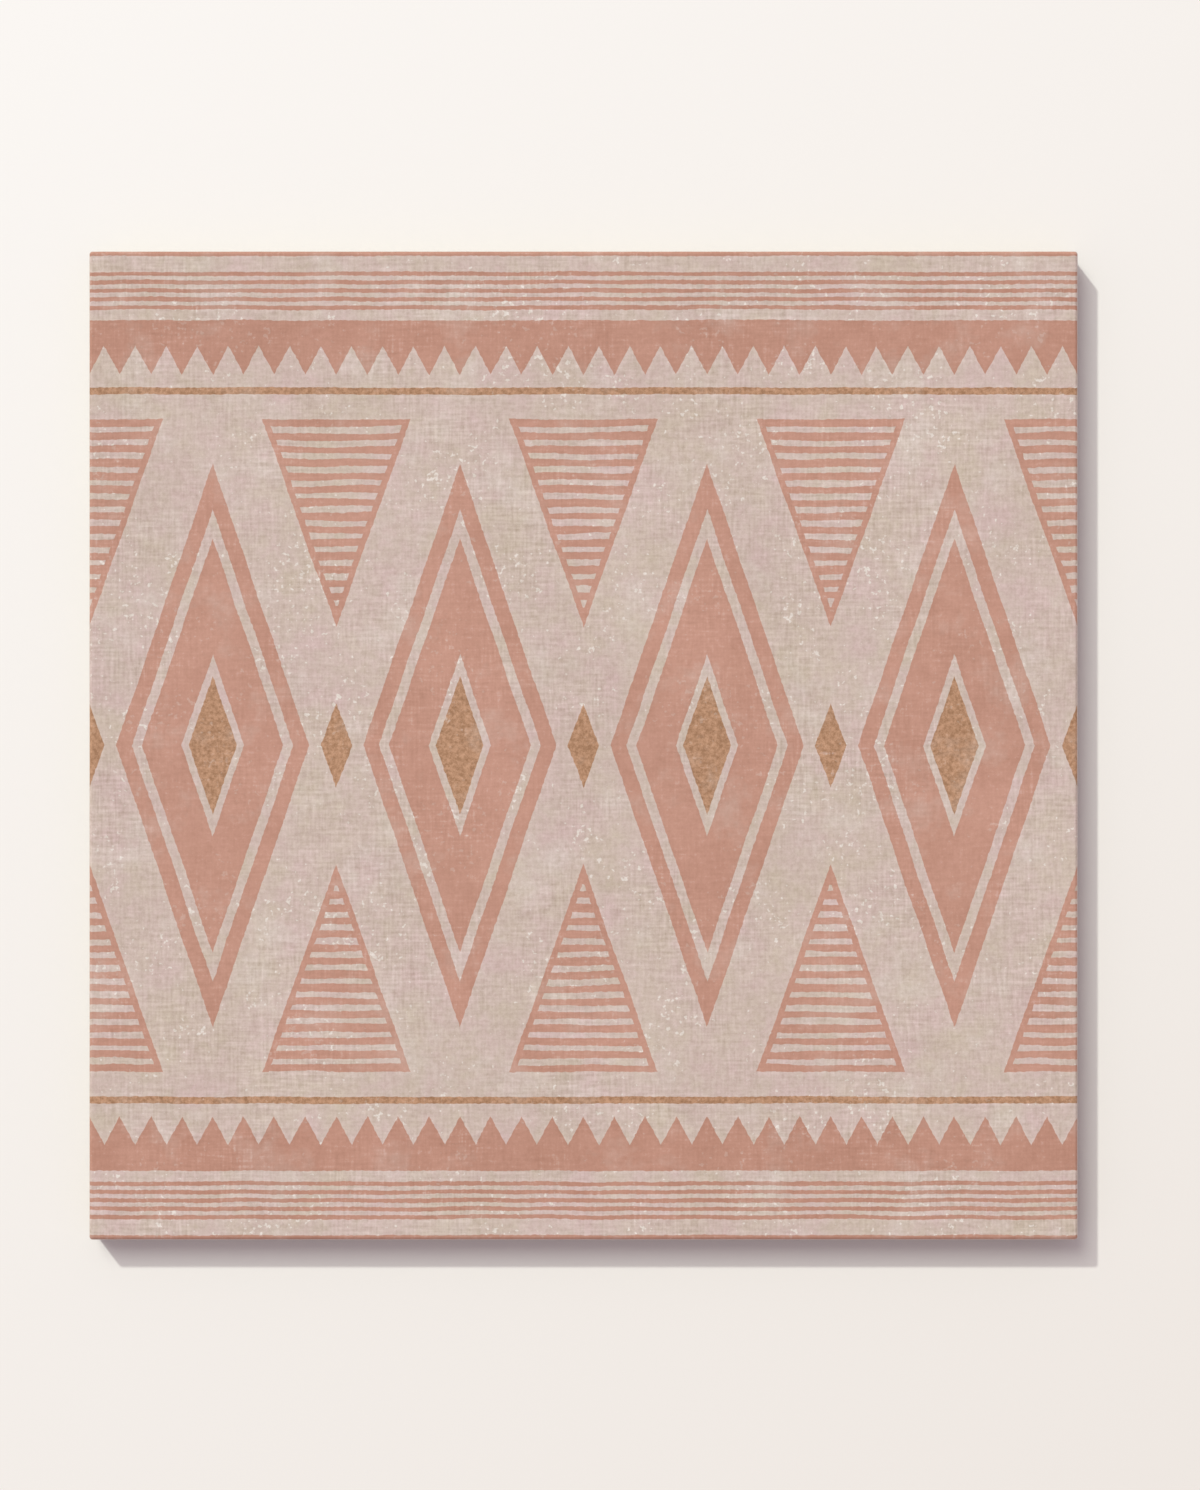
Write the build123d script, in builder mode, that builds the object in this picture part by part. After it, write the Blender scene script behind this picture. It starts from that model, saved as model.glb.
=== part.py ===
from build123d import *

import os

# Straight porcelain border tile: one piece, dry-pressed, fired, then ground square on its four edges.
# It lies face up. X runs along the border, Y across it and Z up. The origin is at the middle of the
# back, on the plane of the keying ribs that the tile lies on. Sizes are in millimetres and angles in
# degrees.

# Overall size
tile_length = 200.0
tile_width = 200.0
tile_thickness = 9.0

# Ground edges
face_arris = 0.5
corner_round = 0.6

# Pressed bevel round the back: how far it reaches in, and how far up the edge
back_bevel_reach = 1.5
back_bevel_rise = 1.0

# Keying relief pressed into the back: square pockets between ribs
pocket_size = 20.0
rib_width = 3.5
pocket_depth = 0.8
pocket_corner = 2.2
pocket_draft = 30.0
pocket_pitch = pocket_size + rib_width


def pockets_across(side):
    """Returns how many whole pockets this side of the back holds.

    The plain rim takes the rest of the side, and is at least as wide as a rib.
    """
    land = side - 2 * back_bevel_reach
    return int((land - rib_width) / pocket_pitch)


with BuildPart() as border_tile:
    # Pressed slab
    with BuildSketch():
        Rectangle(tile_length, tile_width)
    extrude(amount=tile_thickness)

    # Fine ground arris round the face, and the pressed bevel round the back
    face = border_tile.faces().sort_by(Axis.Z)[-1]
    chamfer(face.edges(), length=face_arris)
    back = border_tile.faces().sort_by(Axis.Z)[0]
    chamfer(back.edges(), length=back_bevel_reach, length2=back_bevel_rise, reference=back)

    # Upright corners, eased from face to back
    with BuildSketch():
        RectangleRounded(tile_length, tile_width, corner_round)
    extrude(amount=tile_thickness, mode=Mode.INTERSECT)

    # Keying pockets, narrower towards their floor so that the punch leaves them clean
    columns = pockets_across(tile_length)
    rows = pockets_across(tile_width)
    with BuildSketch():
        with GridLocations(pocket_pitch, pocket_pitch, columns, rows):
            RectangleRounded(pocket_size, pocket_size, pocket_corner)
    extrude(amount=pocket_depth, taper=pocket_draft, mode=Mode.SUBTRACT)

border_tile.part.label = "border_tile"

os.makedirs("parts", exist_ok=True)
export_step(border_tile.part, "parts/border_tile.step")
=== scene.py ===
import math

import bpy
import numpy as np
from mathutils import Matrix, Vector


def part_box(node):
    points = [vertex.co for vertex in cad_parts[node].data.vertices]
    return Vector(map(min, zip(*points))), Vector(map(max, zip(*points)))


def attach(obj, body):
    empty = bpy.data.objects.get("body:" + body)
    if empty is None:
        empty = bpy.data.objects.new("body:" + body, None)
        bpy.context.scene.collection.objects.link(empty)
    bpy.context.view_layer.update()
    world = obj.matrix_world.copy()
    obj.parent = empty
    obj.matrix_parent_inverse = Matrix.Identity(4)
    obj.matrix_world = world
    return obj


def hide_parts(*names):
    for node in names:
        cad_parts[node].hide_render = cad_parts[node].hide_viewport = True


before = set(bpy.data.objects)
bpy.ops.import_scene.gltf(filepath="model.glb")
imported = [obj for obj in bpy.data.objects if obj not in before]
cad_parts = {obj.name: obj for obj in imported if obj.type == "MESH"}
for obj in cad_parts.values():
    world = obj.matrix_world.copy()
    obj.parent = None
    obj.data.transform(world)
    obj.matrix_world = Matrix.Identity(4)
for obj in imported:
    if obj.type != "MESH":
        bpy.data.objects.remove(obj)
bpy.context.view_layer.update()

# Straight porcelain border tile, face up: a pale matt ground, a geometric border printed in terracotta
# and ochre, edges ground square, and a keyed back. Shapes are in metres. The print's layout and the
# materials' patterns are in millimetres, as their headings say.

mm = 0.001

# The slab, from the frame
tile_low, tile_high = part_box("border_tile")
HALF_LENGTH = tile_high.x
HALF_WIDTH = tile_high.y
THICKNESS = tile_high.z

# The ground edges and the pressed bevel round the back, as the solid has them
FACE_ARRIS = 0.5 * mm
CORNER_ROUND = 0.6 * mm
BACK_BEVEL_REACH = 1.5 * mm
BACK_BEVEL_RISE = 1.0 * mm

# The keying pockets, as the solid has them
POCKET_SIZE = 20.0 * mm
RIB_WIDTH = 3.5 * mm
POCKET_DEPTH = 0.8 * mm
POCKET_CORNER = 2.2 * mm
POCKET_WALL = 0.46 * mm
POCKET_PITCH = POCKET_SIZE + RIB_WIDTH

# What the mesh adds to the solid: soft lips on the pockets, and a fired face that sags very slightly, in
# waves of these lengths along and across it. The sag is full at SAG_FADE from the edges.
POCKET_LIP = 0.12 * mm
FACE_SAG = 0.05 * mm
SAG_FADE = 12 * mm
FACE_WAVES = ((83 * mm, 61 * mm), (37 * mm, 49 * mm), (140 * mm, 170 * mm))

# The sheets of the face and of the back end this far in from the edges
SHEET_INSET = BACK_BEVEL_REACH

# The sheets' lines, out from the pockets' edges and in from the sheet's border, and the decimals of a
# metre that tell two lines apart
LINES_AT_WALL = np.array([-5.5, -2.6, -1.9, -1.4, -1.0, -0.7, -0.48, -0.28, -0.1, 0.1, 0.4]) * mm
LINES_AT_BORDER = np.array([0.0, 0.4, 1.2, 3.0]) * mm
LINE_DIGITS = 7

# The upright corners: steps in each, and how their round shrinks as a row goes in
CORNER_STEPS = 5
CORNER_SHRINK = 0.5
LEAST_CORNER = 0.25 * mm

# Finishes, in the order of the piece's material slots
PRINTED_FACE, GROUND_SIDE, FIRED_BACK = range(3)

# The bake map: the printed face has this share of its side, and the gaps part the islands
FACE_SHARE = 0.78
MAP_GAP = 0.006


def pocket_centres(half):
    """The middles of the pockets along one side of the back."""
    land = 2 * (half - BACK_BEVEL_REACH)
    count = int((land - RIB_WIDTH) / POCKET_PITCH)
    return (np.arange(count) - (count - 1) / 2) * POCKET_PITCH


def grid_lines(half):
    """Lines across the tile, close together at the pockets' walls and further apart between them."""
    centres = pocket_centres(half)
    walls = POCKET_SIZE / 2 + LINES_AT_WALL
    border = half - SHEET_INSET - LINES_AT_BORDER
    between = (centres[:-1] + centres[1:]) / 2
    lines = [np.add.outer(centres, walls), np.subtract.outer(centres, walls), between, border, -border]
    return np.unique(np.round(np.concatenate([part.ravel() for part in lines]), LINE_DIGITS))


x_lines = grid_lines(HALF_LENGTH)
y_lines = grid_lines(HALF_WIDTH)


def smooth_step(low, high, value):
    """0 below low, 1 above high, and a smooth rise between them."""
    share = np.clip((value - low) / (high - low), 0, 1)
    return share * share * (3 - 2 * share)


def face_height(x, y):
    """The printed face, which stays level at its edges and sags very slightly between them."""
    wave = 0
    for turn, (along, across) in enumerate(FACE_WAVES):
        wave = wave + np.sin(2 * math.pi * x / along + turn) * np.cos(2 * math.pi * y / across - 2 * turn)
    from_edge = np.minimum(HALF_LENGTH - np.abs(x), HALF_WIDTH - np.abs(y))
    fade = smooth_step(SHEET_INSET, SAG_FADE, from_edge)
    return THICKNESS - FACE_SAG * fade * (0.5 + wave / (2 * len(FACE_WAVES)))


def back_height(x, y):
    """The back: ribs and rim at nought, and pockets with rounded corners and soft lips."""
    def from_centre(value, half):
        centres = pocket_centres(half)
        return np.min(np.abs(value[..., None] - centres), axis=-1)

    reach = POCKET_SIZE / 2 - POCKET_CORNER
    over_x = from_centre(x, HALF_LENGTH) - reach
    over_y = from_centre(y, HALF_WIDTH) - reach
    outside = np.hypot(np.maximum(over_x, 0), np.maximum(over_y, 0))
    inside = np.minimum(np.maximum(over_x, over_y), 0)
    depth_in = POCKET_CORNER - outside - inside
    return POCKET_DEPTH * smooth_step(-POCKET_LIP, POCKET_WALL + POCKET_LIP, depth_in)


class Skin:
    """A closed mesh in the making: its points, its faces, and the finish of each face."""

    def __init__(self):
        self.points = []
        self.faces = []
        self.finishes = []

    def add_points(self, points):
        """Adds these points and returns their numbers."""
        first = len(self.points)
        self.points.extend(points)
        return list(range(first, len(self.points)))

    def add_face(self, corners, finish):
        """Adds a face. Corners that are one point are taken once."""
        once = list(dict.fromkeys(corners))
        self.faces.append(once)
        self.finishes.append(finish)

    def join(self, upper, lower, finish):
        """Fills the belt between two closed rows of as many points, with its faces turned outwards."""
        for here in range(len(upper)):
            after = (here + 1) % len(upper)
            self.add_face((lower[here], lower[after], upper[after], upper[here]), finish)

    def add_sheet(self, height, upward, finish):
        """Adds the sheet inside the edges, and returns its border in the order of outline()."""
        x, y = np.meshgrid(x_lines, y_lines, indexing="ij")
        z = height(x, y)
        numbers = self.add_points(np.stack([x, y, z], axis=-1).reshape(-1, 3).tolist())
        table = np.array(numbers).reshape(x.shape)
        for i in range(len(x_lines) - 1):
            for j in range(len(y_lines) - 1):
                corners = [table[i, j], table[i + 1, j], table[i + 1, j + 1], table[i, j + 1]]
                self.add_face(corners if upward else corners[::-1], finish)
        border = []
        for side in (table[:, 0], table[-1, :], table[::-1, -1], table[0, ::-1]):
            border += list(side) + [side[-1]] * (CORNER_STEPS - 1)
        return border


def outline(inset, height):
    """Points round the tile, that far in from its edges, counter-clockwise from the near side's start."""
    corner = max(CORNER_ROUND - CORNER_SHRINK * inset, LEAST_CORNER)
    along = HALF_LENGTH - inset - corner
    across = HALF_WIDTH - inset - corner
    near = [(x, -across - corner) for x in along * x_lines / x_lines[-1]]
    right = [(along + corner, y) for y in across * y_lines / y_lines[-1]]
    far = [(-x, -y) for x, y in near]
    left = [(-x, -y) for x, y in right]
    centres = ((along, -across), (along, across), (-along, across), (-along, -across))
    points = []
    for quarter, (side, centre) in enumerate(zip((near, right, far, left), centres)):
        points += side
        for step in range(1, CORNER_STEPS):
            angle = math.pi / 2 * (quarter - 1 + step / CORNER_STEPS)
            points.append((centre[0] + corner * math.cos(angle), centre[1] + corner * math.sin(angle)))
    return [(x, y, height) for x, y in points]


# The softened arris as (inset, drop from the face), both as shares of its width
ARRIS_SECTION = (
    (2.0, 0.0),
    (1.28, 0.0),
    (1.08, 0.024),
    (0.92, 0.1),
    (0.72, 0.28),
    (0.28, 0.72),
    (0.1, 0.92),
    (0.02, 1.12),
)

# The edge's section, as (inset, height) from the face down to the back
face_rows = [(inset * FACE_ARRIS, THICKNESS - drop * FACE_ARRIS) for inset, drop in ARRIS_SECTION]
side_rows = [
    (0, THICKNESS - 1.4 * FACE_ARRIS),
    (0, THICKNESS * 0.62),
    (0, THICKNESS * 0.36),
    (0, BACK_BEVEL_RISE + 0.5 * mm),
    (0, BACK_BEVEL_RISE + 0.15 * mm),
]
back_rows = [
    (0.04 * mm, BACK_BEVEL_RISE),
    (0.20 * mm, BACK_BEVEL_RISE * 0.84),
    (0.80 * mm, BACK_BEVEL_RISE * 0.45),
    (BACK_BEVEL_REACH - 0.26 * mm, 0.15 * mm),
    (BACK_BEVEL_REACH - 0.12 * mm, 0.05 * mm),
]


def build_tile():
    """The whole tile as one closed mesh object."""
    skin = Skin()
    upper = skin.add_sheet(face_height, True, PRINTED_FACE)
    for rows, finish in ((face_rows, PRINTED_FACE), (side_rows, GROUND_SIDE), (back_rows, FIRED_BACK)):
        for inset, height in rows:
            lower = skin.add_points(outline(inset, height))
            skin.join(upper, lower, finish)
            upper = lower
    skin.join(upper, skin.add_sheet(back_height, False, FIRED_BACK), FIRED_BACK)

    mesh = bpy.data.meshes.new("printed_border_tile")
    mesh.from_pydata(skin.points, [], skin.faces)
    mesh.polygons.foreach_set("material_index", skin.finishes)
    mesh.polygons.foreach_set("use_smooth", [True] * len(skin.faces))
    mesh.update()
    lay_bake_map(mesh)
    tile = bpy.data.objects.new("printed_border_tile", mesh)
    bpy.context.scene.collection.objects.link(tile)
    return tile


def read(items, name, kind=float):
    """This number of each of a mesh's items, as an array."""
    numbers = np.zeros(len(items), kind)
    items.foreach_get(name, numbers)
    return numbers


def read_places(items, name):
    """This place of each of a mesh's items, as rows of x, y and z."""
    numbers = np.zeros(3 * len(items))
    items.foreach_get(name, numbers)
    return numbers.reshape(-1, 3)


def lay_bake_map(mesh):
    """Lays the bake map out: the face, and beside and above it the halves of the back and of the sides."""
    # Each corner of each face has its own place on the map, and takes its face's finish and middle
    corners = read(mesh.polygons, "loop_total", int)
    finish = np.repeat(read(mesh.polygons, "material_index", int), corners)
    middle = np.repeat(read_places(mesh.polygons, "center"), corners, axis=0)
    place = read_places(mesh.vertices, "co")[read(mesh.loops, "vertex_index", int)]

    # Shares of the way along the tile, across it and up it
    share = (place + (HALF_LENGTH, HALF_WIDTH, 0)) / (2 * HALF_LENGTH, 2 * HALF_WIDTH, THICKNESS)
    u = MAP_GAP + FACE_SHARE * share[:, 0]
    v = MAP_GAP + FACE_SHARE * share[:, 1]

    # One half of the back lies in the margin beside the face, and the other in the margin above it
    margin = 1 - FACE_SHARE - 3 * MAP_GAP
    margin_start = FACE_SHARE + 2 * MAP_GAP
    back_share = 2 * margin
    left_back = (finish == FIRED_BACK) & (middle[:, 0] < 0)
    u[left_back] = margin_start + back_share * share[left_back, 0]
    v[left_back] = MAP_GAP + back_share * share[left_back, 1]
    right_back = (finish == FIRED_BACK) & (middle[:, 0] >= 0)
    u[right_back] = MAP_GAP + back_share * share[right_back, 1]
    v[right_back] = margin_start + back_share * (share[right_back, 0] - 0.5)

    # Past each half of the back, the halves of two sides lie in four strips
    endwise = np.abs(middle[:, 0]) / HALF_LENGTH > np.abs(middle[:, 1]) / HALF_WIDTH
    positive_side = np.where(endwise, middle[:, 0], middle[:, 1]) > 0
    positive_half = np.where(endwise, middle[:, 1], middle[:, 0]) > 0
    strip_start = 2 * MAP_GAP + back_share
    strip_length = FACE_SHARE + MAP_GAP - strip_start
    strip_width = margin / 4
    strip_number = 2 * positive_side + positive_half
    share_of_half = 2 * np.where(endwise, share[:, 1], share[:, 0]) - positive_half
    on_strip = strip_start + strip_length * share_of_half
    over_strip = margin_start + strip_width * strip_number + (strip_width - MAP_GAP) * share[:, 2]
    on_side = finish == GROUND_SIDE
    u[on_side] = np.where(endwise, over_strip, on_strip)[on_side]
    v[on_side] = np.where(endwise, on_strip, over_strip)[on_side]

    layer = mesh.uv_layers.new(name="OFBake")
    layer.data.foreach_set("uv", np.stack([u, v], axis=-1).ravel())


def srgb(red, green, blue):
    """A colour from its 0 to 255 screen values, as the linear colour that a shader takes."""
    def linear(value):
        share = value / 255
        return share / 12.92 if share <= 0.04045 else ((share + 0.055) / 1.055) ** 2.4

    return (linear(red), linear(green), linear(blue), 1)


# Colours
PALE_GROUND = srgb(204, 183, 172)
PINK_GROUND = srgb(206, 180, 174)
GREEN_GROUND = srgb(201, 183, 166)
CHALKY_WEAR = srgb(221, 208, 198)
TERRACOTTA = srgb(197, 146, 127)
DEEP_TERRACOTTA = srgb(184, 132, 112)
OCHRE = srgb(198, 151, 118)
DARK_OCHRE = srgb(158, 114, 80)
FLECK = srgb(225, 213, 203)
BODY = srgb(173, 160, 151)
BODY_DARK = srgb(136, 123, 114)
BODY_LIGHT = srgb(198, 187, 178)
ENGOBE = srgb(219, 208, 198)
FIRED_SKIN = srgb(183, 169, 154)
FIRED_SHADE = srgb(162, 147, 132)
KILN_WASH = srgb(226, 220, 212)
# The floor's painted light and painted shade
FLOOR_PAINTED_LIGHT = srgb(251, 247, 243)
FLOOR_PAINTED_SHADE = srgb(239, 232, 226)

# The tile's gloss, the size of the smallest dots as a share of the largest, and the soft edge of a dot as
# shares of its radius
TILE_SPECULAR = 0.35
LEAST_DOT = 0.35
DOT_EDGE = (0.6, 1.1)

# A Mix node's sockets for colours go by number, because other sockets of the node have the same names
FIRST_COLOUR = 6
SECOND_COLOUR = 7
MIXED_COLOUR = 2


class Graph:
    """A material's nodes, with short calls for the sums that its patterns need. Lengths are millimetres."""

    def __init__(self, name):
        self.material = bpy.data.materials.new(name)
        self.material.use_nodes = True
        self.nodes = self.material.node_tree.nodes
        self.links = self.material.node_tree.links
        self.shader = self.nodes["Principled BSDF"]
        self.shader.inputs["Specular IOR Level"].default_value = TILE_SPECULAR
        coordinates = self.nodes.new("ShaderNodeTexCoord")
        self.place = self.vector("SCALE", coordinates.outputs["Object"], scale=1 / mm)

    def put(self, socket, value):
        """Links a node's output to the socket, or writes a plain value there."""
        if isinstance(value, bpy.types.NodeSocket):
            self.links.new(value, socket)
        else:
            socket.default_value = value

    def math(self, operation, *values, clamp=False):
        node = self.nodes.new("ShaderNodeMath")
        node.operation = operation
        node.use_clamp = clamp
        for socket, value in zip(node.inputs, values):
            self.put(socket, value)
        return node.outputs[0]

    def vector(self, operation, *values, scale=None):
        node = self.nodes.new("ShaderNodeVectorMath")
        node.operation = operation
        for socket, value in zip(node.inputs, values):
            self.put(socket, value)
        if scale is not None:
            self.put(node.inputs["Scale"], scale)
        return node.outputs["Vector"]

    def split(self, vector):
        node = self.nodes.new("ShaderNodeSeparateXYZ")
        self.put(node.inputs[0], vector)
        return node.outputs[0], node.outputs[1], node.outputs[2]

    def mix(self, share, first, second):
        """From the first colour at share 0 to the second at share 1."""
        node = self.nodes.new("ShaderNodeMix")
        node.data_type = "RGBA"
        self.put(node.inputs["Factor"], share)
        self.put(node.inputs[FIRST_COLOUR], first)
        self.put(node.inputs[SECOND_COLOUR], second)
        return node.outputs[MIXED_COLOUR]

    def span(self, value, low, high, start=0.0, end=1.0):
        """Takes low to start and high to end, and stays between them."""
        node = self.nodes.new("ShaderNodeMapRange")
        for socket, number in zip(node.inputs, (value, low, high, start, end)):
            self.put(socket, number)
        return node.outputs[0]

    def weighed(self, base, *pairs):
        """The base, plus each value times the strength that comes with it."""
        for value, strength in pairs:
            base = self.math("MULTIPLY_ADD", value, strength, base)
        return base

    def least(self, *values):
        result = values[0]
        for value in values[1:]:
            result = self.math("MINIMUM", result, value)
        return result

    def most(self, *values):
        result = values[0]
        for value in values[1:]:
            result = self.math("MAXIMUM", result, value)
        return result

    def band(self, value, low, high):
        """How far the value is inside low to high, or outside if it is negative."""
        return self.least(self.math("SUBTRACT", value, low), self.math("SUBTRACT", high, value))

    def noise(self, size, detail=2.0, stretch=(1, 1, 1), shift=0.0, coarse=0.5):
        """A noise node whose lumps are about this many millimetres across, before the stretch.

        It is soft at first, and grainier the coarser and more detailed it is.
        """
        node = self.nodes.new("ShaderNodeTexNoise")
        place = self.vector("DIVIDE", self.place, stretch)
        if shift:
            place = self.vector("ADD", place, (shift, shift, shift))
        self.put(node.inputs["Vector"], place)
        node.inputs["Scale"].default_value = 1 / size
        node.inputs["Detail"].default_value = detail
        node.inputs["Roughness"].default_value = coarse
        return node

    def lumps(self, **pattern):
        """Random values round 0.5, of a pattern that noise() describes."""
        return self.noise(**pattern).outputs[0]

    def swing(self, **pattern):
        """Random values round nought."""
        return self.math("SUBTRACT", self.lumps(**pattern), 0.5)

    def patches(self, low, high, start=0.0, end=1.0, **pattern):
        """Random patches: start where the pattern is below low, and end where it is above high."""
        return self.span(self.lumps(**pattern), low, high, start, end)

    def wander(self, place, reach, **pattern):
        """The place, moved at random by up to half the reach each way."""
        away = self.vector("SUBTRACT", self.noise(**pattern).outputs["Color"], (0.5, 0.5, 0.5))
        return self.vector("ADD", place, self.vector("SCALE", away, scale=reach))

    def dots(self, cell, radius, chance, shift=0.0):
        """Round dots of up to that radius, in that share of the cells."""
        node = self.nodes.new("ShaderNodeTexVoronoi")
        place = self.vector("ADD", self.place, (shift, shift, 0))
        self.put(node.inputs["Vector"], place)
        node.inputs["Scale"].default_value = 1 / cell
        luck, size, _ = self.split(node.outputs["Color"])
        reach = self.math("MULTIPLY", self.span(size, 0, 1, LEAST_DOT, 1), radius / cell)
        drawn = self.math("LESS_THAN", luck, chance)
        edge = self.math("DIVIDE", node.outputs["Distance"], reach)
        return self.math("MULTIPLY", self.span(edge, *DOT_EDGE, 1, 0), drawn)

    def speckle(self, base, colour, strength, **grains):
        """The base colour with dots of the other colour in it."""
        return self.mix(self.math("MULTIPLY", self.dots(**grains), strength), base, colour)

    def finish(self, colour, roughness, height):
        """Sends the colour, the roughness and the height in millimetres to the shader."""
        self.put(self.shader.inputs["Base Color"], colour)
        self.put(self.shader.inputs["Roughness"], roughness)
        bump = self.nodes.new("ShaderNodeBump")
        bump.inputs["Strength"].default_value = 1
        bump.inputs["Distance"].default_value = mm
        self.put(bump.inputs["Height"], height)
        self.put(self.shader.inputs["Normal"], bump.outputs[0])
        return self.material


# The print's layout in millimetres. Stripes are measured in from the border's two long edges.
LONG_EDGE = HALF_WIDTH / mm
EDGE_LINE = 1.0
PIN_STRIPES = (4.0, 12.0)
PIN_PITCH = 1.7
PIN_WIDTH = 0.84
PIN_MARGIN = 0.2
BROAD_STRIPE = (14.0, 19.2)
TEETH = 32
TOOTH_HEIGHT = 5.8
OCHRE_STRIPE = (27.6, 29.0)

# The figures between the stripes: diamonds in rings, and lined points between them. The rings and the
# core are measured in from a diamond's sides, and the points from the middle of the border.
DIAMONDS = 4
DIAMOND_PITCH = 2 * HALF_LENGTH / mm / DIAMONDS
DIAMOND_HALF_WIDTH = 19.5
DIAMOND_HALF_HEIGHT = 57.0
OUTER_RING = (0.0, 3.0)
INNER_RING = (4.9, 12.5)
DIAMOND_CORE = 13.9
SMALL_HALF_WIDTH = 3.2
SMALL_HALF_HEIGHT = 8.5
POINT_BASE = 66.0
POINT_TIP = 24.0
POINT_HALF_WIDTH = 15.0
POINT_RIM = 1.2
POINT_LINE_PITCH = 2.7
POINT_LINE_WIDTH = 1.5

# The fine lines leave their places by the waver, and the pin stripes by this share of it
PIN_WAVER = 0.4

# How soft a printed edge is
INK_SOFTNESS = 0.09


def pin_stripes(graph, from_edge, waver):
    """How far inside a pin stripe the place is."""
    place = graph.math("SUBTRACT", from_edge, PIN_STRIPES[0] + PIN_WIDTH / 2 + PIN_MARGIN)
    place = graph.weighed(place, (waver, PIN_WAVER))
    from_pin = graph.math("PINGPONG", place, PIN_PITCH / 2)
    in_pin = graph.math("SUBTRACT", PIN_WIDTH / 2, from_pin)
    return graph.least(in_pin, graph.band(from_edge, *PIN_STRIPES))


def toothed_stripe(graph, x, from_edge):
    """How far inside the broad stripe or one of its teeth the place is."""
    half_tooth = HALF_LENGTH / mm / TEETH
    slant = math.hypot(half_tooth, TOOTH_HEIGHT)
    from_tip = graph.math("PINGPONG", x, half_tooth)
    below_tip = graph.math("SUBTRACT", BROAD_STRIPE[1] + TOOTH_HEIGHT, from_edge)
    in_tooth = graph.weighed(0, (below_tip, half_tooth / slant), (from_tip, -TOOTH_HEIGHT / slant))
    teeth = graph.least(in_tooth, graph.math("SUBTRACT", from_edge, BROAD_STRIPE[0]))
    return graph.most(graph.band(from_edge, *BROAD_STRIPE), teeth)


def diamond(graph, across, along, half_width, half_height):
    """How far inside a diamond the place is, measured square to its sides."""
    depth = half_width * half_height / math.hypot(half_width, half_height)
    return graph.weighed(depth, (across, -depth / half_width), (along, -depth / half_height))


def lined_point(graph, from_gap, from_middle, waver):
    """How far inside the rim or a line of a point the place is. The point's tip is towards the middle."""
    slope = POINT_HALF_WIDTH / (POINT_BASE - POINT_TIP)
    half_here = graph.math("MULTIPLY", graph.math("SUBTRACT", from_middle, POINT_TIP), slope)
    in_point = graph.math("DIVIDE", graph.math("SUBTRACT", half_here, from_gap), math.hypot(1, slope))
    place = graph.math("SUBTRACT", from_middle, POINT_BASE - POINT_LINE_WIDTH / 2)
    place = graph.math("ADD", place, waver)
    from_line = graph.math("PINGPONG", place, POINT_LINE_PITCH / 2)
    lines = graph.least(graph.math("SUBTRACT", POINT_LINE_WIDTH / 2, from_line), in_point)
    rim = graph.band(in_point, 0.0, POINT_RIM)
    return graph.least(graph.most(lines, rim), graph.math("SUBTRACT", POINT_BASE, from_middle))


def print_depths(graph, x, y, waver):
    """How far inside the terracotta stripes, the terracotta figures and the ochre the place is."""
    from_middle = graph.math("ABSOLUTE", y)
    from_edge = graph.math("SUBTRACT", LONG_EDGE, from_middle)
    stripes = graph.most(
        graph.math("SUBTRACT", EDGE_LINE, from_edge),
        pin_stripes(graph, from_edge, waver),
        toothed_stripe(graph, x, from_edge),
    )

    half_pitch = DIAMOND_PITCH / 2
    from_diamond = graph.math("PINGPONG", graph.math("SUBTRACT", x, half_pitch), half_pitch)
    from_gap = graph.math("SUBTRACT", half_pitch, from_diamond)
    large = diamond(graph, from_diamond, from_middle, DIAMOND_HALF_WIDTH, DIAMOND_HALF_HEIGHT)
    small = diamond(graph, from_gap, from_middle, SMALL_HALF_WIDTH, SMALL_HALF_HEIGHT)
    figures = graph.most(
        graph.band(large, *OUTER_RING),
        graph.band(large, *INNER_RING),
        lined_point(graph, from_gap, from_middle, waver),
    )
    ochre = graph.most(
        graph.band(from_edge, *OCHRE_STRIPE),
        graph.math("SUBTRACT", large, DIAMOND_CORE),
        small,
    )
    return stripes, figures, ochre


def coverage(graph, depth):
    """1 inside a printed shape and 0 outside it, with a soft edge."""
    return graph.math("MULTIPLY_ADD", depth, 1 / INK_SOFTNESS, 0.5, clamp=True)


# The materials' patterns, with lengths in millimetres. Each set holds the values of one call below: size is
# that of the pattern's lumps, and shift keeps it from falling in with another pattern. One that has low
# and high runs from start to end between them, and start and end are 0 and 1 where it doesn't say.

# The inks' edges wander widely and shiver finely, and the fine lines waver along their length
INK_WANDER = dict(reach=0.4, size=11, detail=0)
INK_SHIVER = dict(reach=0.3, size=0.9, detail=0, shift=17)
LINE_WAVER = dict(size=2.2, detail=1, stretch=(7, 1, 1), shift=61)
LINE_WAVER_REACH = 1.1

# Linen-like threads both ways, which are stronger in patches, and fine grain
THREADS_ALONG = dict(size=0.55, detail=1, stretch=(10, 1, 1), shift=3)
THREADS_ACROSS = dict(size=0.55, detail=1, stretch=(1, 10, 1), shift=7)
THREAD_STRENGTH = dict(low=0.35, high=0.65, start=0.5, end=1.3, size=16, detail=1, shift=11)
FACE_GRAIN = dict(size=1.1, detail=4, shift=23, coarse=0.8)

# Flecks show where their pattern passes a level, which is lower in clusters, and in full this far past it
FLECKS = dict(size=0.95, detail=1, shift=57)
FLECK_LEVEL = dict(low=0.46, high=0.62, start=0.74, end=0.62, size=13, detail=2, shift=53)
FLECK_RISE = 0.07

# The ground's hue, which turns pink above the middle of its pattern and green below it
GROUND_HUE = dict(size=10, detail=5, shift=67, coarse=0.7)
PINK_SPAN = (0.5, 0.68)
GREEN_SPAN = (0.5, 0.32)

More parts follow.
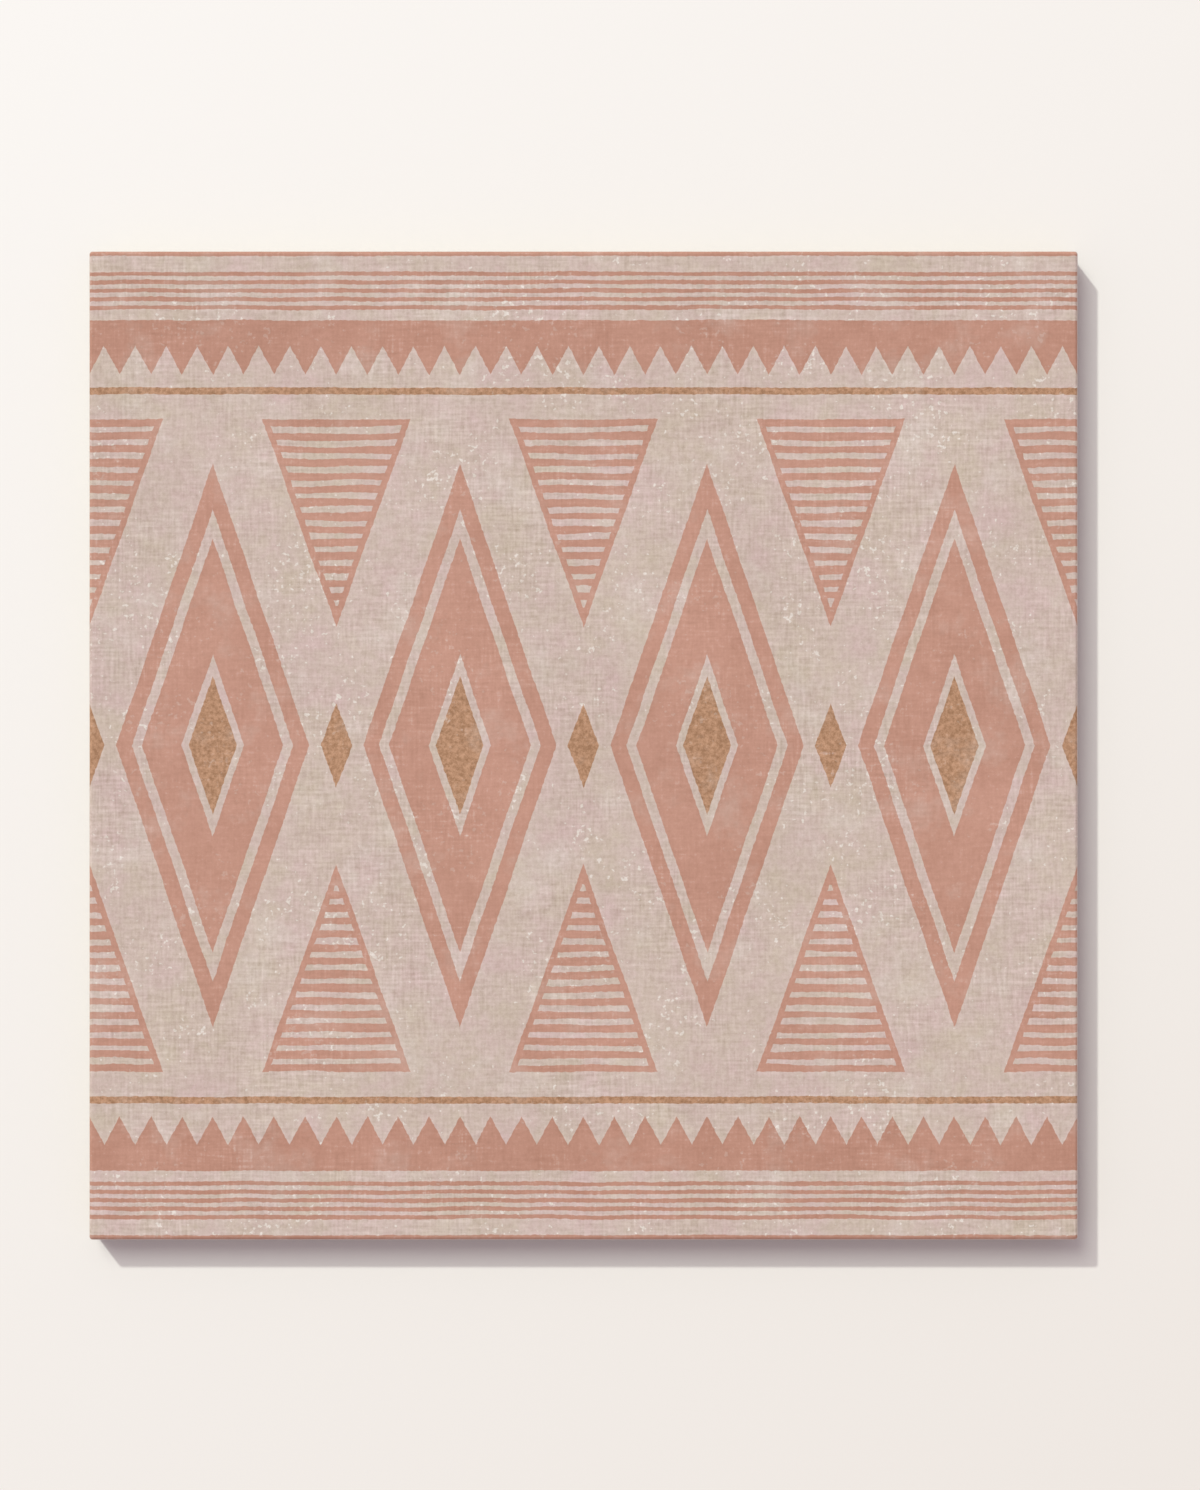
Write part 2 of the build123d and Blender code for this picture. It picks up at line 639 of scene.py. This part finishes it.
# How solid the inks are, which is less where the ground stands up, and what flecks take from that
INK_SOLID = dict(low=0.22, high=0.58, start=0.97, end=0.72)
FLECKS_IN_INK = -0.16

# The depth of the terracotta, in mottled patches, what the stripes add to it, and the ochre's grain
INK_MOTTLE = dict(low=0.32, high=0.68, start=-0.15, end=0.65, size=7, detail=5, shift=71, coarse=0.65)
STRIPE_DEPTH = 0.42
OCHRE_GRAIN = dict(low=0.385, high=0.615, size=0.95, detail=4, shift=83, coarse=0.82)

# Soft chalky wear in patches, and what a cover of ink takes from it
CHALK = dict(low=0.53, high=0.72, end=0.45, size=13, detail=4, shift=97, coarse=0.65)
CHALK_ON_INK = -0.5

# Light and shade on the face, by what makes it, and what a cover of ink takes from the first two
GRAIN_LIGHT = 1.95
WEAVE_LIGHT = 1.05
LIGHT_ON_INK = -0.4
FACE_CLOUDS = dict(size=28, detail=2, shift=41)
CLOUD_LIGHT = 0.5

# The inks' rims, by how far inside the ink they are: a light one outside it, which comes in over the first
# stretch and ends over the second, and a dark one inside, which fades from the edge inwards
OUTER_RIM_START = (-0.8, -0.15)
OUTER_RIM_END = (0.05, -0.05)
OUTER_RIM_LIGHT = 0.12
INNER_RIM = (0.7, 0.1)
INNER_RIM_LIGHT = -0.1

# How far the face's light and shade go in red, green and blue: shade is a little warmer
TONE_OF_LIGHT = (0.30, 0.34, 0.40)

# The face's roughness, what ink and grain add to it, and the relief of grain and weave
FACE_ROUGHNESS = 0.62
INK_ROUGHNESS = -0.05
GRAIN_ROUGHNESS = 0.15
GRAIN_RELIEF = 0.045
WEAVE_RELIEF = 0.008

# The feet of the glaze and of the engobe under it on the edges, and how far they waver
GLAZE_LINE = dict(foot=THICKNESS / mm - 0.46, reach=0.12, softness=0.03, size=3, shift=91)
ENGOBE_LINE = dict(foot=THICKNESS / mm - 0.95, reach=0.2, softness=0.04, cover=0.8, size=2.5, shift=27)

# The porcelain body: clouds, and light and dark grains
BODY_CLOUDS = dict(low=0.3, high=0.7, end=0.25, size=14, shift=31)
BODY_LIGHT_GRAINS = dict(strength=0.5, cell=0.9, radius=0.3, chance=0.35, shift=5)
BODY_DARK_GRAINS = dict(strength=0.55, cell=1.3, radius=0.24, chance=0.3, shift=9)

# The ground sides: lines of the grinding wheel, and grit, and what they add to light, roughness and relief
GRINDING_LINES = dict(size=0.16, detail=2, stretch=(60, 60, 1), shift=13)
SIDE_GRIT = dict(size=0.35, detail=2, shift=19)
GRINDING_LIGHT = 0.2
SIDE_GRIT_LIGHT = 0.14
SIDE_ROUGHNESS = 0.66
GRINDING_ROUGHNESS = 0.2
GRINDING_RELIEF = 0.04
SIDE_GRIT_RELIEF = 0.04

# The fired back: grit, soft marks of the press, clouds, grains and pits, and what they add
BACK_GRIT = dict(size=0.55, detail=3, shift=47)
PRESS_MARKS = dict(size=2.4, detail=2, shift=49)
BACK_CLOUDS = dict(low=0.35, high=0.65, size=24, detail=4, shift=29)
BACK_DARK_GRAINS = dict(strength=0.6, cell=1.1, radius=0.3, chance=0.35, shift=6)
BACK_LIGHT_GRAINS = dict(strength=0.5, cell=1.7, radius=0.3, chance=0.3, shift=12)
BACK_PITS = dict(cell=2.3, radius=0.35, chance=0.25, shift=8)
BACK_GRIT_LIGHT = 0.2
PRESS_LIGHT = 0.08
BACK_ROUGHNESS = 0.72
BACK_GRIT_RELIEF = 0.09
PRESS_RELIEF = 0.12
PIT_RELIEF = -0.06

# The kiln wash. Streaks along the rollers, patches and grit make up how much of it is left, and it ends
# at these heights up the pockets' walls.
WASH_STREAKS = dict(size=1.6, detail=4, stretch=(1, 3.5, 1), shift=37)
WASH_PATCHES = dict(size=15, detail=3, shift=43)
PATCHES_IN_WASH = 1.4
GRIT_IN_WASH = 0.7
WASH_LEFT = dict(low=1.08, high=1.34, end=0.7)
WASH_END = (0.04, 0.2)
WASH_ROUGHNESS = 0.1


def above_line(graph, foot, reach, softness, cover=1.0, **pattern):
    """The cover above a wavering line on the edges, and 0 below it."""
    height_up = graph.split(graph.place)[2]
    line = graph.weighed(foot, (graph.lumps(**pattern), reach))
    return graph.span(graph.math("SUBTRACT", height_up, line), -softness, softness, 0, cover)


def printed_face():
    """Matt printed face: linen-like ground, inks with slightly uneven edges, and pale flecks."""
    graph = Graph("printed_face")

    # The inks' edges wander a little, as a hand-cut print's do, and no two fine lines are alike
    moved = graph.wander(graph.place, **INK_WANDER)
    moved = graph.wander(moved, **INK_SHIVER)
    x, y, _ = graph.split(moved)
    waver = graph.math("MULTIPLY", graph.swing(**LINE_WAVER), LINE_WAVER_REACH)
    stripes, figures, ochre_depth = print_depths(graph, x, y, waver)
    terracotta_depth = graph.most(stripes, figures)
    terracotta_cover = coverage(graph, terracotta_depth)
    ochre_cover = coverage(graph, ochre_depth)
    cover = graph.most(terracotta_cover, ochre_cover)

    # Threads, grain and flecks
    threads = graph.math("ADD", graph.swing(**THREADS_ALONG), graph.swing(**THREADS_ACROSS))
    weave = graph.math("MULTIPLY", threads, graph.patches(**THREAD_STRENGTH))
    grain = graph.swing(**FACE_GRAIN)
    rough = graph.weighed(0, (weave, WEAVE_LIGHT), (grain, GRAIN_LIGHT))
    past_level = graph.math("SUBTRACT", graph.lumps(**FLECKS), graph.patches(**FLECK_LEVEL))
    flecks = graph.span(past_level, 0, FLECK_RISE)

    # The ground
    hue = graph.lumps(**GROUND_HUE)
    ground = graph.mix(graph.span(hue, *PINK_SPAN), PALE_GROUND, PINK_GROUND)
    ground = graph.mix(graph.span(hue, *GREEN_SPAN), ground, GREEN_GROUND)
    ground = graph.mix(flecks, ground, FLECK)

    # The inks, a little thin where the ground is rough
    solid = graph.weighed(graph.span(rough, **INK_SOLID), (flecks, FLECKS_IN_INK))
    depth_of_ink = graph.weighed(graph.patches(**INK_MOTTLE), (coverage(graph, stripes), STRIPE_DEPTH))
    terracotta = graph.mix(depth_of_ink, TERRACOTTA, DEEP_TERRACOTTA)
    ochre = graph.mix(graph.patches(**OCHRE_GRAIN), OCHRE, DARK_OCHRE)
    colour = graph.mix(graph.math("MULTIPLY", terracotta_cover, solid), ground, terracotta)
    colour = graph.mix(graph.math("MULTIPLY", ochre_cover, solid), colour, ochre)

    # Chalky wear, which shows less on the inks
    chalk = graph.math("MULTIPLY", graph.patches(**CHALK), graph.weighed(1, (cover, CHALK_ON_INK)))
    colour = graph.mix(chalk, colour, CHALKY_WEAR)

    # Light and shade of the threads, grain and clouds. Ink takes less of it, and its rim is crisper.
    ink_depth = graph.most(terracotta_depth, ochre_depth)
    near_ink = graph.span(ink_depth, *OUTER_RIM_START)
    rim_outside = graph.math("MULTIPLY", near_ink, graph.span(ink_depth, *OUTER_RIM_END))
    rim_inside = graph.math("MULTIPLY", graph.span(ink_depth, *INNER_RIM), cover)
    tone = graph.weighed(
        graph.math("MULTIPLY", rough, graph.weighed(1, (cover, LIGHT_ON_INK))),
        (graph.swing(**FACE_CLOUDS), CLOUD_LIGHT),
        (rim_outside, OUTER_RIM_LIGHT),
        (rim_inside, INNER_RIM_LIGHT),
    )
    light = graph.vector("MULTIPLY_ADD", tone, TONE_OF_LIGHT, (1, 1, 1))
    colour = graph.vector("MULTIPLY", colour, light)

    # The ground arris cuts through the glaze to the engobe
    colour = graph.mix(above_line(graph, **GLAZE_LINE), ENGOBE, colour)

    roughness = graph.weighed(FACE_ROUGHNESS, (cover, INK_ROUGHNESS), (grain, GRAIN_ROUGHNESS))
    height = graph.weighed(0, (weave, WEAVE_RELIEF), (grain, GRAIN_RELIEF))
    return graph.finish(colour, roughness, height)


def body_colour(graph):
    """Pale porcelain body with fine dark and light grains in it."""
    base = graph.mix(graph.patches(**BODY_CLOUDS), BODY, FIRED_SKIN)
    base = graph.speckle(base, BODY_LIGHT, **BODY_LIGHT_GRAINS)
    return graph.speckle(base, BODY_DARK, **BODY_DARK_GRAINS)


def ground_side():
    """Body laid bare by the grinding wheel, with its fine lines along the edge, under a pale engobe."""
    graph = Graph("ground_side")
    lines = graph.swing(**GRINDING_LINES)
    grit = graph.swing(**SIDE_GRIT)
    colour = graph.mix(above_line(graph, **ENGOBE_LINE), body_colour(graph), ENGOBE)
    light = graph.weighed(1, (lines, GRINDING_LIGHT), (grit, SIDE_GRIT_LIGHT))
    colour = graph.vector("SCALE", colour, scale=light)
    roughness = graph.weighed(SIDE_ROUGHNESS, (lines, GRINDING_ROUGHNESS))
    height = graph.weighed(0, (grit, SIDE_GRIT_RELIEF), (lines, GRINDING_RELIEF))
    return graph.finish(colour, roughness, height)


def fired_back():
    """Rough fired back: chalky kiln wash rubbed on to the ribs, and a darker skin in the pockets."""
    graph = Graph("fired_back")
    grit = graph.swing(**BACK_GRIT)
    press = graph.swing(**PRESS_MARKS)
    skin = graph.mix(graph.patches(**BACK_CLOUDS), FIRED_SKIN, FIRED_SHADE)
    skin = graph.speckle(skin, BODY_DARK, **BACK_DARK_GRAINS)
    skin = graph.speckle(skin, BODY_LIGHT, **BACK_LIGHT_GRAINS)

    # Wash stays on the ribs, dry and grainy, and worn through along the kiln's rollers
    on_ribs = graph.span(graph.split(graph.place)[2], *WASH_END, 1, 0)
    left = graph.weighed(
        graph.lumps(**WASH_STREAKS),
        (graph.lumps(**WASH_PATCHES), PATCHES_IN_WASH),
        (grit, GRIT_IN_WASH),
    )
    wash = graph.math("MULTIPLY", graph.span(left, **WASH_LEFT), on_ribs)
    colour = graph.mix(wash, skin, KILN_WASH)

    light = graph.weighed(1, (grit, BACK_GRIT_LIGHT), (press, PRESS_LIGHT))
    colour = graph.vector("SCALE", colour, scale=light)
    pits = graph.dots(**BACK_PITS)
    roughness = graph.weighed(BACK_ROUGHNESS, (wash, WASH_ROUGHNESS))
    height = graph.weighed(0, (press, PRESS_RELIEF), (grit, BACK_GRIT_RELIEF), (pits, PIT_RELIEF))
    return graph.finish(colour, roughness, height)


tile = build_tile()
for material in (printed_face(), ground_side(), fired_back()):
    tile.data.materials.append(material)
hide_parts("border_tile")
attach(tile, "root")


# The floor that the tile lies on, and the background that shows past it. Its half side is in metres. Its
# colour holds painted light: lighter towards the lamps, and fading to darker this many millimetres each way
# from the middle, away from them.
FLOOR_REACH = 6.0
PAINTED_FALLOFF_REACH = 190.0
AWAY_FROM_LIGHT = (0.6, -0.8)
FLOOR_ROUGHNESS = 0.9
FLOOR_SPECULAR = 0.1


def build_floor():
    """A plain pale floor, with painted light: its colour is a little lighter towards the lamps."""
    mesh = bpy.data.meshes.new("floor")
    signs = ((-1, -1), (1, -1), (1, 1), (-1, 1))
    corners = [(x * FLOOR_REACH, y * FLOOR_REACH, tile_low.z) for x, y in signs]
    mesh.from_pydata(corners, [], [(0, 1, 2, 3)])
    floor = bpy.data.objects.new("floor", mesh)
    bpy.context.scene.collection.objects.link(floor)
    graph = Graph("floor")
    x, y, _ = graph.split(graph.place)
    away = graph.weighed(0, (x, AWAY_FROM_LIGHT[0]), (y, AWAY_FROM_LIGHT[1]))
    # Painted light: the floor's colour is lighter towards the lamps and darker away from them
    colour = graph.mix(graph.span(away, -PAINTED_FALLOFF_REACH, PAINTED_FALLOFF_REACH), FLOOR_PAINTED_LIGHT, FLOOR_PAINTED_SHADE)
    graph.put(graph.shader.inputs["Base Color"], colour)
    graph.shader.inputs["Roughness"].default_value = FLOOR_ROUGHNESS
    graph.shader.inputs["Specular IOR Level"].default_value = FLOOR_SPECULAR
    mesh.materials.append(graph.material)


build_floor()

# Light: a crisp key lamp from the upper left, a broad soft lamp above it, and a pale surround. The lamps
# are faintly green and the surround faintly pink, so that the shadow is a little pinker than the light.
KEY_STRENGTH = 1.50
KEY_SPREAD = math.radians(2.5)
KEY_FROM = Vector((-5.4, 7.05, 9.0))
BROAD_STRENGTH = 0.946
BROAD_SPREAD = math.radians(26)
BROAD_FROM = Vector((-3.0, 4.8, 9.0))
LAMP_COLOUR = (0.96, 1.04, 0.97)
SURROUND_STRENGTH = 0.405
SURROUND_COLOUR = (1.06, 0.94, 1.045, 1)


def add_lamp(name, strength, spread, come_from):
    """A distant lamp: light of that strength from that way, as soft as its spread."""
    light = bpy.data.lights.new(name, "SUN")
    light.energy = strength
    light.color = LAMP_COLOUR
    light.angle = spread
    lamp = bpy.data.objects.new(name, light)
    lamp.rotation_mode = "QUATERNION"
    lamp.rotation_quaternion = come_from.to_track_quat("Z", "Y")
    bpy.context.scene.collection.objects.link(lamp)


add_lamp("key", KEY_STRENGTH, KEY_SPREAD, KEY_FROM)
add_lamp("broad", BROAD_STRENGTH, BROAD_SPREAD, BROAD_FROM)

world = bpy.data.worlds.new("surround")
world.use_nodes = True
world.node_tree.nodes["Background"].inputs["Color"].default_value = SURROUND_COLOUR
world.node_tree.nodes["Background"].inputs["Strength"].default_value = SURROUND_STRENGTH
bpy.context.scene.world = world

# The camera looks straight down, through a long lens. The picture's size, and the tile's width and centre
# in it, are in pixels of the 1200 by 1490 frame.
PHOTO_WIDTH = 1200
PHOTO_HEIGHT = 1490
SHOWN_WIDTH = 989
SHOWN_CENTRE = (583.5, 745.5)
LENS = 100.0
SENSOR = 36.0

pixel = 2 * HALF_LENGTH / SHOWN_WIDTH
camera_data = bpy.data.cameras.new("camera")
camera_data.lens = LENS
camera_data.sensor_width = SENSOR
camera = bpy.data.objects.new("camera", camera_data)
camera.location = (
    (PHOTO_WIDTH / 2 - SHOWN_CENTRE[0]) * pixel,
    (SHOWN_CENTRE[1] - PHOTO_HEIGHT / 2) * pixel,
    THICKNESS + PHOTO_HEIGHT * pixel * LENS / SENSOR,
)
bpy.context.scene.collection.objects.link(camera)
bpy.context.scene.camera = camera
bpy.context.scene.view_settings.view_transform = "Standard"
